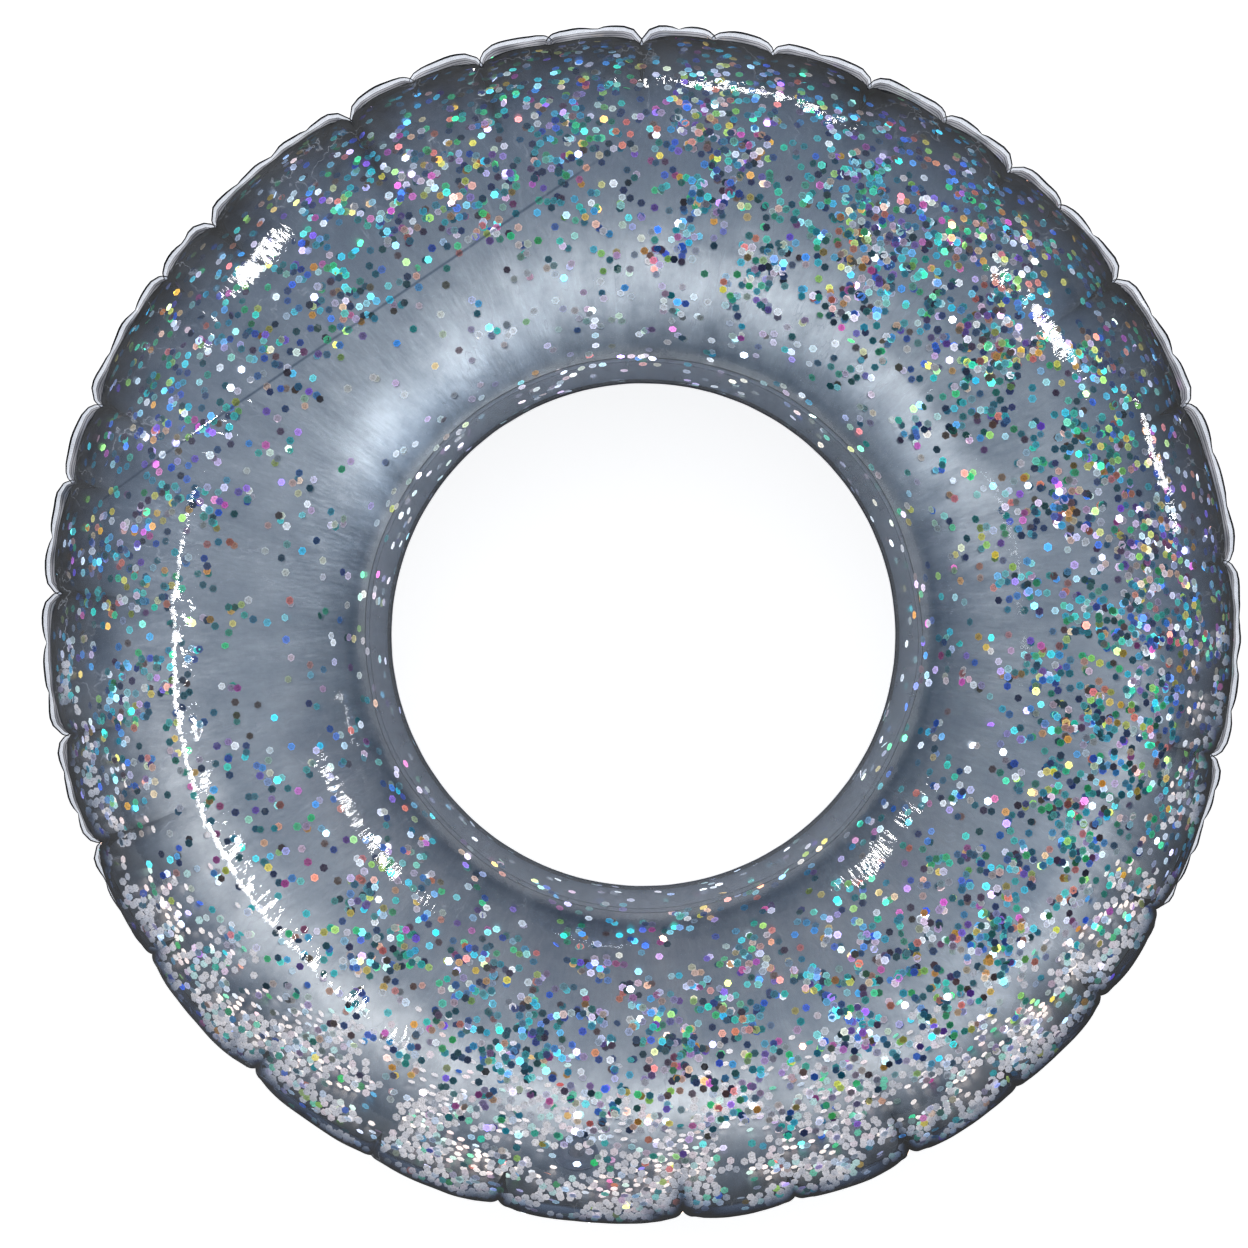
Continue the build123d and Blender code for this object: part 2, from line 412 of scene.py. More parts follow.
def noise_socket(tree, scale, detail=3.0, rough=0.5, place=None):
    """Noise over the object's own coordinates, or over the places that a mesh keeps under a name."""
    if place:
        source = node(tree, "ShaderNodeAttribute", attribute_name=place).outputs["Vector"]
    else:
        source = tree.nodes.new("ShaderNodeTexCoord").outputs["Object"]
    made = node(tree, "ShaderNodeTexNoise", in_Scale=scale, in_Detail=detail, in_Roughness=rough,
                in_Vector=source)
    return made.outputs["Fac"]


def ramp(tree, source, low, high, from_value=0.0, to_value=1.0):
    """A straight change from one value to another over a range of the source."""
    made = node(tree, "ShaderNodeMapRange", clamp=True, in_Value=source, in_From_Min=low,
                in_From_Max=high, in_To_Min=from_value, in_To_Max=to_value)
    return made.outputs["Result"]


UPPER_PASS = (0.60, 0.645, 0.705)  # what the upper film lets through when met square on
LOWER_PASS = (0.20, 0.252, 0.325)
LEAST_SQUARE, SLANT_POWER = 0.15, -1.5  # how the light's way through the film grows with the slant
FILM_HAZE = (0.34, 0.38, 0.45)
HAZE_SPAN = (0.38, 0.62)  # of the clouding noise
HEM_HAZE = 0.15
HEM_CLEAR = 0.8  # how much of the tint is missing over the hole's weld
FOLD_FROM, FOLD_TO = (-0.480, 0.098), (-0.031, 0.401)  # a packing fold across the upper left
FOLD_HALF, FOLD_FADE = 1.6 * MM, 40 * MM
# How much darker the tint is on the fold, and the painted shade along the tuck creases.
FOLD_DARK, CREASE_PAINTED_SHADE = 2.0, 1.8
FILM_WRINKLES = ((50.0, 1.2), (130.0, 0.55))  # scale and strength, where the film is puckered


def fold_mark(tree):
    """1 on a straight fold over the film, as seen from above, and 0 beside it."""
    place = tree.nodes.new("ShaderNodeTexCoord").outputs["Object"]
    split = node(tree, "ShaderNodeSeparateXYZ", in_Vector=place)
    run = Vector(FOLD_TO) - Vector(FOLD_FROM)
    half = run.length / 2
    run.normalize()
    x = less(tree, split.outputs["X"], FOLD_FROM[0])
    y = less(tree, split.outputs["Y"], FOLD_FROM[1])
    across = less(tree, times(tree, x, run.y), times(tree, y, run.x))
    beyond = plus(tree, times(tree, x, run.x), times(tree, y, run.y))
    middle = math_node(tree, "ABSOLUTE", less(tree, beyond, half))
    inside = ramp(tree, middle, half - FOLD_FADE, half, 1, 0)
    near = ramp(tree, math_node(tree, "ABSOLUTE", across), 0, FOLD_HALF, 1, 0)
    above = math_node(tree, "GREATER_THAN", split.outputs["Z"], seam)
    return times(tree, times(tree, near, inside), above)


def crease_lines(tree, scale, width):
    """1 along thin wandering lines, where the film has been creased, and 0 beside them."""
    level = noise_socket(tree, scale, 4.0, 0.6, "wrinkle_place")
    return ramp(tree, math_node(tree, "ABSOLUTE", less(tree, level, 0.5)), 0, width, 1, 0)


def film_bump(tree, fold, fine):
    """The film's unevenness: soft swells, fine grain, wrinkles where it is puckered, and the fold."""
    height = plus(tree, noise_socket(tree, 14.0, 3.0), times(tree, fine, 0.10))
    height = plus(tree, height, times(tree, noise_socket(tree, 45.0, 2.0), 0.18))
    height = less(tree, height, times(tree, fold, 0.25))
    pucker = kept_value(tree, "pucker")
    for scale, share in FILM_WRINKLES:
        wrinkles = times(tree, noise_socket(tree, scale, 2.0, 0.5, "wrinkle_place"), pucker)
        height = plus(tree, height, times(tree, wrinkles, share))
    return bumped(tree, height, 0.35, 4 * MM)


def film_tint(tree, passed, fold, hem):
    """The see-through part: darker where it is met at a slant and on the fold, with painted shade in the
    creases.
    """
    facing = node(tree, "ShaderNodeLayerWeight", in_Blend=0.5).outputs["Facing"]
    square = math_node(tree, "MAXIMUM", less(tree, 1.0, facing), LEAST_SQUARE)
    path = math_node(tree, "POWER", square, SLANT_POWER)
    path = times(tree, path, less(tree, 1.0, times(tree, hem, HEM_CLEAR)))
    path = plus(tree, path, times(tree, fold, FOLD_DARK))
    # painted shade along the tuck creases
    path = times(tree, path, plus(tree, 1.0, times(tree, kept_value(tree, "crease"), CREASE_PAINTED_SHADE)))
    channels = tree.nodes.new("ShaderNodeCombineColor")
    for place, share in enumerate(passed):
        feed(tree, channels.inputs[place], math_node(tree, "POWER", share, path))
    return node(tree, "ShaderNodeBsdfTransparent", in_Color=channels.outputs[0]).outputs[0]


def film_material(name, passed, haziness, cloudiness, shine):
    """Smoke-tinted film: glossy outside, and cloudy inside."""
    material, tree, out = new_material(name)
    fold = fold_mark(tree)
    hem = kept_value(tree, "near_hole")
    streaks = noise_socket(tree, 18.0, 8.0, 0.72, "wrinkle_place")
    cloud = plus(tree, times(tree, noise_socket(tree, 9.0, 8.0, 0.72), 0.55), times(tree, streaks, 0.45))
    fine = noise_socket(tree, 130.0, 2.0)
    bump = film_bump(tree, fold, fine)

    haze = node(tree, "ShaderNodeBsdfDiffuse", in_Color=(*FILM_HAZE, 1), in_Normal=bump)
    lines = times(tree, crease_lines(tree, 16.0, 0.007), ramp(tree, streaks, 0.42, 0.57))
    haze_share = plus(tree, ramp(tree, cloud, *HAZE_SPAN, *haziness), times(tree, lines, 0.2))
    haze_share = plus(tree, haze_share, times(tree, hem, HEM_HAZE))
    body = mix_shader(tree, haze_share, film_tint(tree, passed, fold, hem), haze.outputs[0])

    cloudy = node(tree, "ShaderNodeBsdfGlossy", in_Color=(0.96, 0.98, 1, 1), in_Roughness=0.46,
                  in_Normal=bump)
    inside = tree.nodes.new("ShaderNodeNewGeometry").outputs["Backfacing"]
    cloudy_share = times(tree, ramp(tree, cloud, *HAZE_SPAN, *cloudiness), inside)
    body = mix_shader(tree, cloudy_share, body, cloudy.outputs[0])

    sharp = node(tree, "ShaderNodeBsdfGlossy", in_Color=(1, 1, 1, 1), in_Normal=bump,
                 in_Roughness=ramp(tree, fine, 0.3, 0.7, 0.04, 0.09))
    share = times(tree, less(tree, 1.0, inside), shine)
    tree.links.new(mix_shader(tree, share, body, sharp.outputs[0]), out.inputs["Surface"])
    return material


def weld_material(name, colour, shut, rough, shine=0.5):
    """Fused film: milky, glossy and partly see-through, with small uneven patches."""
    material, tree, out = new_material(name)
    patch = noise_socket(tree, 120.0, 3.0)
    shade = mix_colours(tree, "MIX", patch, (*[c * 0.80 for c in colour], 1), (*colour, 1))
    surface = node(tree, "ShaderNodeBsdfPrincipled", in_IOR=1.45, in_Specular_IOR_Level=shine,
                   in_Base_Color=shade, in_Normal=bumped(tree, patch, 0.3, 0.8 * MM),
                   in_Roughness=ramp(tree, patch, 0.3, 0.7, rough * 0.8, rough * 1.3))
    clear = node(tree, "ShaderNodeBsdfTransparent", in_Color=(0.86, 0.88, 0.92, 1))
    share = ramp(tree, patch, 0.25, 0.75, shut - 0.08, shut + 0.08)
    tree.links.new(mix_shader(tree, share, clear.outputs[0], surface.outputs[0]), out.inputs["Surface"])
    return material


def flake_material():
    """Holographic film: each flake has its own tint and shine, and a painted glow (emission), kept on
    the mesh.
    """
    material, tree, out = new_material("holographic_flakes")
    tint = node(tree, "ShaderNodeAttribute", attribute_name="flake_tint").outputs["Color"]
    grain = noise_socket(tree, 700.0, 2.0)
    shade = mix_colours(tree, "MULTIPLY", 1.0, tint, ramp(tree, grain, 0.25, 0.75, 0.75, 1.25))
    surface = node(tree, "ShaderNodeBsdfPrincipled", in_Metallic=0.45, in_Base_Color=shade,
                   in_Roughness=ramp(tree, grain, 0.3, 0.7, 0.22, 0.42), in_Emission_Color=shade,
                   in_Emission_Strength=kept_value(tree, "flake_painted_glow"))
    tree.links.new(surface.outputs[0], out.inputs["Surface"])
    return material


def floor_material():
    """A plain pale floor, which can be seen through from below."""
    material, tree, out = new_material("pale_floor")
    surface = node(tree, "ShaderNodeBsdfPrincipled", in_Base_Color=(0.86, 0.86, 0.87, 1),
                   in_Roughness=0.9, in_Specular_IOR_Level=0.1, in_Emission_Color=(1, 1, 1, 1),
                   in_Emission_Strength=0.85)
    clear = tree.nodes.new("ShaderNodeBsdfTransparent")
    below = tree.nodes.new("ShaderNodeNewGeometry").outputs["Backfacing"]
    tree.links.new(mix_shader(tree, below, surface.outputs[0], clear.outputs[0]), out.inputs["Surface"])
    return material


upper_film = film_material("upper_smoke_film", UPPER_PASS, (0.004, 0.06), (0.02, 0.05), 0.026)
lower_film = film_material("lower_smoke_film", LOWER_PASS, (0.002, 0.025), (0.15, 0.36), 0.008)
milky_weld = weld_material("milky_weld", (0.58, 0.58, 0.62), 0.84, 0.30)
weld_line = weld_material("weld_line", (0.17, 0.17, 0.21), 0.84, 0.35, 0.2)
# Near-black: thin dark lines on the inner weld, and painted shade for the dark lines that slant and
# refraction give the film's edges by the outer weld.
dark_lines_and_painted_shade = weld_material("dark_lines_and_painted_shade", (0.012, 0.013, 0.018), 0.92, 0.40, 0.1)
clear_margin = weld_material("clear_margin", (0.86, 0.87, 0.90), 0.16, 0.15)
inner_band = weld_material("inner_band", (0.50, 0.54, 0.61), 0.45, 0.30)
soft_valve = weld_material("soft_valve", (0.52, 0.56, 0.64), 0.72, 0.28)
flake_film = flake_material()


# ---- film panels
turns = ring_turns()
ROW_SPACING = 1.12  # rows of points lie closer together towards the outer weld
HEM_END, HEM_SOFT = 28 * MM, 7 * MM  # the upper film lies clearer over the hole's weld, up to here
WRINKLE_STRETCH = 0.14  # less than 1, so that fine wrinkles run long from the rim to the hole
VALVE_DEPTH = 40 * MM  # the opening is cut no further than this along the valve's axis


def cut_opening(points, faces):
    """Leaves out the film over the valve, and moves the points round the opening out to its edge."""
    offset = points - np.array(valve_origin)
    axis = np.array(valve_out)
    across = offset - (offset @ axis)[:, None] * axis
    away = np.linalg.norm(across, axis=1)
    gone = (np.abs(offset @ axis) < VALVE_DEPTH) & (away < film_opening)
    faces = [f for f in faces if not all(gone[list(f)])]
    used = np.zeros(len(points), bool)
    used[[i for f in faces for i in f]] = True
    edge = gone & used
    points[edge] += across[edge] * (film_opening / away[edge] - 1)[:, None]
    renumber = np.cumsum(used) - 1
    return [tuple(int(renumber[i]) for i in f) for f in faces], used


def film_panel(name, side, material, node_name):
    """One film of the tube: side is 1 for the upper film and -1 for the lower one."""
    share = np.linspace(0, 1, (UPPER_STEPS if side > 0 else LOWER_STEPS) + 1)
    tilts = math.pi * share ** ROW_SPACING
    if side < 0:
        tilts = np.union1d(tilts, -valve_tilt + VALVE_STEPS / lower_height)
    tilts = side * tilts
    turn, tilt = (grid.ravel() for grid in np.meshgrid(turns, tilts))
    points = wall(turn, tilt)
    faces = sheet_faces(len(tilts), len(turns), False)
    used = np.ones(len(points), bool)
    if side < 0:
        faces, used = cut_opening(points, [tuple(reversed(f)) for f in faces])
    piece = mesh_piece(name, points[used], faces, [material])
    off_hole = (1 + np.cos(tilt)) * (tube_outer - hole_radius) / 2
    near_hole = np.clip((HEM_END - off_hole) / HEM_SOFT, 0, 1) * (side > 0)
    wrinkle = np.stack([np.cos(turn), np.sin(turn), WRINKLE_STRETCH * np.abs(tilt)], axis=-1)
    # how deep the tuck creases are here, which sets their painted shade
    crease = creases(turn, tilt, np.abs(tilt) * upper_height) / (FULL_CREASE_SHADE_DEPTH * MM)
    add_attribute(piece, "near_hole", "FLOAT", near_hole[used])
    add_attribute(piece, "wrinkle_place", "FLOAT_VECTOR", wrinkle[used] * tube_outer)
    add_attribute(piece, "pucker", "FLOAT", puckers(turn, tilt)[used])
    add_attribute(piece, "crease", "FLOAT", np.clip(crease, 0, 1)[used])
    return finish_piece(piece, "ring", "smoke_film", node_name)


film_panel("upper_film", 1, upper_film, "upper_panel")
film_panel("lower_film", -1, lower_film, "lower_panel")

# ---- outer weld strip
NICK_GAP = (30 * MM, 55 * MM)  # the trimmed edge runs in short arcs of about this length
strip_width = rim_radius - tube_outer
MILKY_SHARE = 0.62  # of the strip's width, and the rest is a clear margin
SQUARE_SHARE = 0.6  # how far the strip follows the film's edge round a tuck; 0 stands straight out
DROOP = 72  # degrees: the strip is turned down under the film on the -Y side
STRIP_WAVER = 0.5 * MM  # how unevenly the band's edge runs
STRIP_SWAY = 2.7 * MM  # how far the strip waves up and down
TUCK_SWAY = 5 * MM
MARGIN_RIPPLE = 1.5 * MM

# Across the outer strip: share of the band, share of the margin, half-thickness (mm), and material.
OUTER_SECTION = (
    (-0.12, 0, 0.30, 3), (0.10, 0, 0.35, 0), (0.30, 0, 0.60, 1), (0.40, 0, 0.50, 0),
    (0.58, 0, 0.75, 1), (0.68, 0, 0.80, 0), (0.84, 0, 0.75, 1), (0.92, 0, 0.45, 2),
    (1.0, 0.62, 0.30, 3), (1.0, 1.0, 0.30, 3),
)


def nick_turns():
    """Where the short arcs of the trimmed edge meet: at every tuck, and between them."""
    marks = sorted(math.radians(t[0]) for t in TUCKS)
    nicks = []
    for mark, following in zip(marks, marks[1:] + [marks[0] + TAU]):
        room = (following - mark) * tube_outer
        count = max(1, round(room / waves.uniform(*NICK_GAP)))
        for step in range(count):
            shift = waves.uniform(-0.12, 0.12) * (step > 0)
            nicks.append(mark + (following - mark) * (step + shift) / count)
    return np.array(nicks)


def arc_share(turn, nicks):
    """0 at each nick, rising to 1 in the middle of each arc."""
    ends = np.append(nicks, nicks[0] + TAU)
    lifted = np.where(turn < nicks[0], turn + TAU, turn)
    place = np.minimum(np.searchsorted(ends, lifted, side="right"), len(nicks)) - 1
    share = (lifted - ends[place]) / (ends[place + 1] - ends[place])
    return np.abs(np.sin(math.pi * share)) ** 0.45


def near_tuck(turn, width):
    """1 at a tuck, falling to 0 away from it."""
    total = np.zeros(np.shape(turn))
    for degrees, depth, _ in TUCKS:
        away = np.abs(wrapped(turn - math.radians(degrees))) * tube_outer
        total = np.maximum(total, min(1, depth / 10) * np.exp(-away / width))
    return total


def outline(about):
    """Points where the strip leaves the film, and the way out from there in plan.

    The film's edge is taken to run from this far before a point to this far after it.
    """
    level = np.zeros(len(turns))
    start = wall(turns, level)
    step = about / tube_outer
    run = wall(turns + step, level) - wall(turns - step, level)
    square = unit_rows(np.stack([run[:, 1], -run[:, 0]], axis=-1))
    return start, unit_rows(SQUARE_SHARE * square + (1 - SQUARE_SHARE) * unit_rows(start[:, :2]))


def outer_weld():
    """The strip round the outside: a milky band, pressed lines, a clear margin, and near-black painted
    shade at its cut edge and where the film meets it.
    """
    nicks = nick_turns()
    start, way = outline(2.5 * MM)
    arcs = arc_share(turns, nicks)
    tuck = near_tuck(turns, 4 * MM)
    waver = STRIP_WAVER * rolling(turns, 0 * turns, CRINKLES) / CRINKLE_HEIGHT
    band = strip_width * MILKY_SHARE * (1 - 0.3 * tuck) + waver
    margin = strip_width * (1 - MILKY_SHARE) * (0.15 + 0.85 * arcs) * (1 - 0.7 * tuck)
    droop = math.radians(DROOP) * low_side(turns)
    sway = STRIP_SWAY * rolling(turns, 0 * turns + 2, CRINKLES) / CRINKLE_HEIGHT
    sway = sway + TUCK_SWAY * tuck * np.sign(np.sin(turns * 7.3))
    rows, kinds = [], []
    for sign in (1, -1):
        for in_band, in_margin, half, kind in OUTER_SECTION[::sign]:
            reach = band * in_band + margin * in_margin
            plan = start[:, :2] + way * (reach * np.cos(droop))[:, None]
            rise = sway * max(0, in_band) ** 1.5 + MARGIN_RIPPLE * in_margin * np.sin(turns * 41)
            level = seam + rise - reach * np.sin(droop) + sign * half * MM
            rows.append(np.column_stack([plan, level]))
            kinds.append(kind)
    faces = sheet_faces(len(rows), len(turns), True)
    bands = []
    for i in range(len(rows)):
        after = (i + 1) % len(rows)
        bands += [kinds[i] if i < len(OUTER_SECTION) else kinds[after]] * len(turns)
    piece = mesh_piece("outer_weld", np.concatenate(rows), faces,
                       [milky_weld, weld_line, clear_margin, dark_lines_and_painted_shade], bands)
    return finish_piece(piece, "ring", "weld_strip", "outer_weld_strip")


outer_weld()

# ---- inner weld, turned into the tube
LOWER_EDGE_ON = 4 * MM  # the lower film's edge runs on past the upper film's

# Around the inner strip: share of its width, distance past that (mm), height (mm), and material.
INNER_SECTION = (
    (0, -0.8, 0.0, 0), (0, -0.4, 0.9, 0), (0, 0.6, 1.4, 1), (0, 1.1, 1.4, 1), (0, 2.0, 0.9, 0),
    (0, 2.6, 0.6, 1), (0, 3.1, 0.5, 2), (1.0, -0.9, 0.4, 2), (1.0, -0.3, 0.45, 1), (1.0, 0.0, 0.3, 1),
    (1.0, 0.1, 0.0, 2), (1.0, 3.3, 0.0, 2), (1.0, 3.5, 0.05, 1), (1.0, 4.0, 0.0, 1),
    (1.0, 4.0, -0.4, 1), (1.0, 3.0, -0.45, 2), (0, 3.1, -0.5, 2), (0, 2.0, -0.9, 0), (0, 0.6, -1.4, 0),
    (0, -0.4, -0.9, 0),
)


def inner_weld():
    """The hole's weld: a tight bead at the hole, and the strip that lies inside the tube."""
    tight = np.full(len(turns), math.pi)
    start = np.linalg.norm(wall(turns, tight)[:, :2], axis=1)
    sway = rolling(turns, 0 * turns, LUMPS) * 1.2
    width = fold_end - hole_radius - LOWER_EDGE_ON + 0.6 * rolling(turns, 0 * turns + 1, LUMPS)
    rows, kinds = [], []
    for share, past, height, kind in INNER_SECTION:
        radius = start + width * share + past * MM
        level = seam + height * MM + sway * share
        rows.append(np.stack([radius * np.cos(turns), radius * np.sin(turns), level], axis=-1))
        kinds.append(kind)
    bands = []
    for i in range(len(rows)):
        bands += [max(kinds[i], kinds[(i + 1) % len(rows)]) if kinds[i] != 1 else 1] * len(turns)
    faces = sheet_faces(len(rows), len(turns), True)
    piece = mesh_piece("inner_weld", np.concatenate(rows), faces,
                       [milky_weld, dark_lines_and_painted_shade, inner_band], bands)
    return finish_piece(piece, "ring", "weld_strip", "inner_weld_strip")


inner_weld()

# ---- valve
BEVEL = 0.3 * MM
WEB_STEPS, WEB_SIDES = 12, 72


def moulded(node_name, body):
    """A CAD piece of the valve with its edges rounded over, as soft plastic comes out of a mould."""
    shape = bmesh.new()
    shape.from_mesh(frame["nodes"][node_name].data)
    bmesh.ops.remove_doubles(shape, verts=shape.verts, dist=0.001 * MM)
    bmesh.ops.dissolve_limit(shape, angle_limit=math.radians(1), verts=shape.verts, edges=shape.edges)
    mesh = bpy.data.meshes.new(node_name + "_moulded")
    shape.to_mesh(mesh)
    shape.free()
    mesh.materials.clear()
    mesh.materials.append(soft_valve)
    piece = bpy.data.objects.new(node_name + "_moulded", mesh)
    bpy.context.scene.collection.objects.link(piece)
    bevel = piece.modifiers.new("rounded", "BEVEL")
    bevel.width, bevel.segments = BEVEL, 3
    bevel.limit_method, bevel.angle_limit = "ANGLE", math.radians(35)
    bevel.harden_normals = True
    mesh.shade_smooth()
    return finish_piece(piece, body, "valve_clear", node_name)


def valve_point(across, up, turn):
    """A point about the valve's axis, up from the film's outer face."""
    way = valve_across * math.cos(turn) + valve_side * math.sin(turn)
    return valve_origin + valve_out * up + way * across


def valve_web():
    """The thin web between the base and the stem, in one dished shape. On the real valve it lets the
    stem slide and turns over as the stem is pulled out.
    """
    outer, inner, top, dish, thick = 12.4 * MM, 7.0 * MM, -1.0 * MM, 2.4 * MM, 0.9 * MM
    profile = []
    for step in range(WEB_STEPS + 1):
        share = step / WEB_STEPS
        sunk = dish * (0.5 - 0.5 * math.cos(math.pi * share))
        profile.append((outer + (inner - outer) * share, top - sunk))
    profile += [(across, up - thick) for across, up in reversed(profile)]
    points = []
    for across, up in profile:
        points += [valve_point(across, up, step * TAU / WEB_SIDES) for step in range(WEB_SIDES)]
    piece = mesh_piece("valve_web", points, sheet_faces(len(profile), WEB_SIDES, True), [soft_valve])
    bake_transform(piece)
    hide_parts("valve_diaphragm")


valve_web()
moulded("valve_base", "ring")
moulded("valve_stem", "stem")
moulded("plug_tether", "stem")
moulded("valve_flap", "flap")
moulded("valve_plug", "plug")

# ---- glitter
FLAKE_ACROSS = 6.35 * MM  # between two flat sides
FLAKE_RADIUS = FLAKE_ACROSS / math.sqrt(3)
INNER_SHARE = 0.62  # the darker middle's share of a flake
SCATTERED = 9000
UPPER_SHARE = 0.64  # of the scattered flakes that cling to the upper film
THINNEST = 0.42  # how dense the flakes are away from the gatherings, and also by the hole
HEM_WIDTH = 0.035  # of the way from the hole to the rim: no dark flakes there, and none of the brightest painted glow
DRIFTED = 2800
DRIFT_TURN, DRIFT_SPREAD = -98, 48  # degrees
DRIFT_FRONT = 0.86  # of the drifted flakes that lie on the upper film
FLAKE_SPACING = 6.3 * MM  # between the middles of flakes in the drift
FLAKE_LIFT = 0.3 * MM  # every flake lies at least this much above the floor
LEVELLED = 0.55  # how far a flake in the drift is turned from lying on the film to lying level
MOST_FILM = 3.2  # the drift's tints make up for the film above them, to this many times its thickness
# Painted glow of the drifted flakes, before it makes up for the film above them, and its most.
DRIFT_PAINTED_GLOW, MOST_PAINTED_GLOW = 0.72, 2.6
VALVE_KEEP_OUT = 30 * MM

# Tints, in linear light, with how often each is drawn. The bright ones go round the colours in order.
BRIGHT_TINTS = (
    ((0.74, 0.67, 0.74), 12), ((0.92, 0.50, 0.34), 6), ((0.85, 0.22, 0.16), 5), ((0.90, 0.42, 0.04), 4),
    ((0.85, 0.72, 0.12), 5), ((0.40, 0.75, 0.15), 4), ((0.03, 0.58, 0.22), 7), ((0.02, 0.52, 0.40), 10),
    ((0.01, 0.22, 0.28), 12), ((0.03, 0.58, 0.68), 12), ((0.30, 0.70, 0.74), 8), ((0.06, 0.34, 0.74), 7),
    ((0.02, 0.12, 0.55), 7), ((0.20, 0.09, 0.55), 5), ((0.50, 0.40, 0.70), 6), ((0.62, 0.09, 0.42), 4),
    ((0.87, 0.87, 0.92), 7),
)
DARK_TINTS = (
    ((0.025, 0.06, 0.16), 12), ((0.08, 0.05, 0.11), 5), ((0.02, 0.12, 0.17), 13),
    ((0.14, 0.09, 0.08), 5),
)
SILVER_TINTS = (
    ((0.80, 0.78, 0.82), 40), ((0.68, 0.68, 0.74), 20), ((0.86, 0.76, 0.82), 8), ((0.55, 0.80, 0.80), 6),
    ((0.60, 0.70, 0.86), 4), ((0.20, 0.70, 0.50), 2), ((0.42, 0.45, 0.52), 4),
)

# Where scattered flakes gather, as seen from above: turn (degrees), place across the tube from the hole
# at 0 to the rim at 1, their spreads, and how much denser it is there.
GATHERINGS = (
    (95, 0.72, 30, 0.20, 1.5), (60, 0.55, 22, 0.25, 1.9), (42, 0.72, 16, 0.16, 1.6),
    (20, 0.60, 22, 0.22, 1.7), (-5, 0.72, 18, 0.20, 2.0), (130, 0.65, 18, 0.18, 1.0),
    (165, 0.70, 18, 0.16, 1.1), (190, 0.80, 16, 0.12, 1.0), (-35, 0.62, 24, 0.22, 1.3),
    (-90, 0.45, 40, 0.22, 1.3), (235, 0.50, 18, 0.20, 0.9), (-62, 0.55, 20, 0.2, 1.0),
)
# Where there are fewer, in the same way.
THIN_PLACES = ((140, 0.25, 28, 0.22, 0.75), (185, 0.30, 20, 0.25, 0.5), (25, 0.15, 30, 0.14, 0.4))
PALE_SIDE = (115, 0, 75, 1)  # the flakes near the hole look pale on this side


def spot(turn, across, place):
    """How near places are to a gathering's middle, from 0 to 1."""
    away = np.degrees(wrapped(turn - math.radians(place[0])))
    return np.exp(-((away / place[2]) ** 2) - ((across - place[1]) / place[3]) ** 2)


def pick(tints, count):
    """Tints, by how often each is drawn."""
    weights = np.array([t[1] for t in tints], float)
    chosen = waves.choice(len(tints), count, p=weights / weights.sum())
    return np.array([t[0] for t in tints])[chosen]


def pick_near(tints, phase):
    """Tints by their place in the list, where a phase from 0 to 1 goes once through it."""
    ends = np.cumsum([t[1] for t in tints])
    return np.array([t[0] for t in tints])[np.searchsorted(ends, (phase % 1) * ends[-1], side="right")]


def varied(tints, greyest):
    """Tints that differ in strength and in how grey they are, flake by flake."""
    count = len(tints)
    grey = tints.mean(axis=1, keepdims=True)
    tints = tints + (grey - tints) * (waves.uniform(0, 1, count) * greyest)[:, None]
    tints = tints * (1 + waves.normal(0, 0.12, (count, 3)))
    return np.clip(tints * np.exp(waves.normal(-0.15, 0.42, (count, 1))), 0.004, 1.0)


def choose(flags, first, second):
    """Rows of the first where a flag is true, and else of the second."""
    return np.where(flags[:, None] if first.ndim > 1 else flags, first, second)


def kept_flakes(flakes, keep, most=None):
    """The flakes whose flag is true, and no more than most of them."""
    chosen = np.flatnonzero(keep)[:most]
    return {key: values[chosen] for key, values in flakes.items()}


def seen_through(tilt):
    """How much film a straight look down has to pass, compared with a level place."""
    return np.maximum(np.sin(tilt), LEAST_SQUARE) ** SLANT_POWER


def spaced(flakes, most):
    """Flakes that don't overlap, and no more than most of them."""
    taken, kept = {}, []
    places = wall(flakes["turn"], flakes["tilt"], flakes["depth"])
    for i, place in enumerate(places):
        cell = tuple(np.floor(place / FLAKE_SPACING).astype(int))
        beside = [tuple(np.add(cell, step) - 1) for step in np.ndindex(3, 3, 3)]
        near = [places[j] for key in beside for j in taken.get(key, ())]
        if not near or np.min(np.linalg.norm(np.array(near) - place, axis=1)) > FLAKE_SPACING:
            taken.setdefault(cell, []).append(i)
            kept.append(i)
        if len(kept) == most:
            break
    return {key: values[kept] for key, values in flakes.items()}


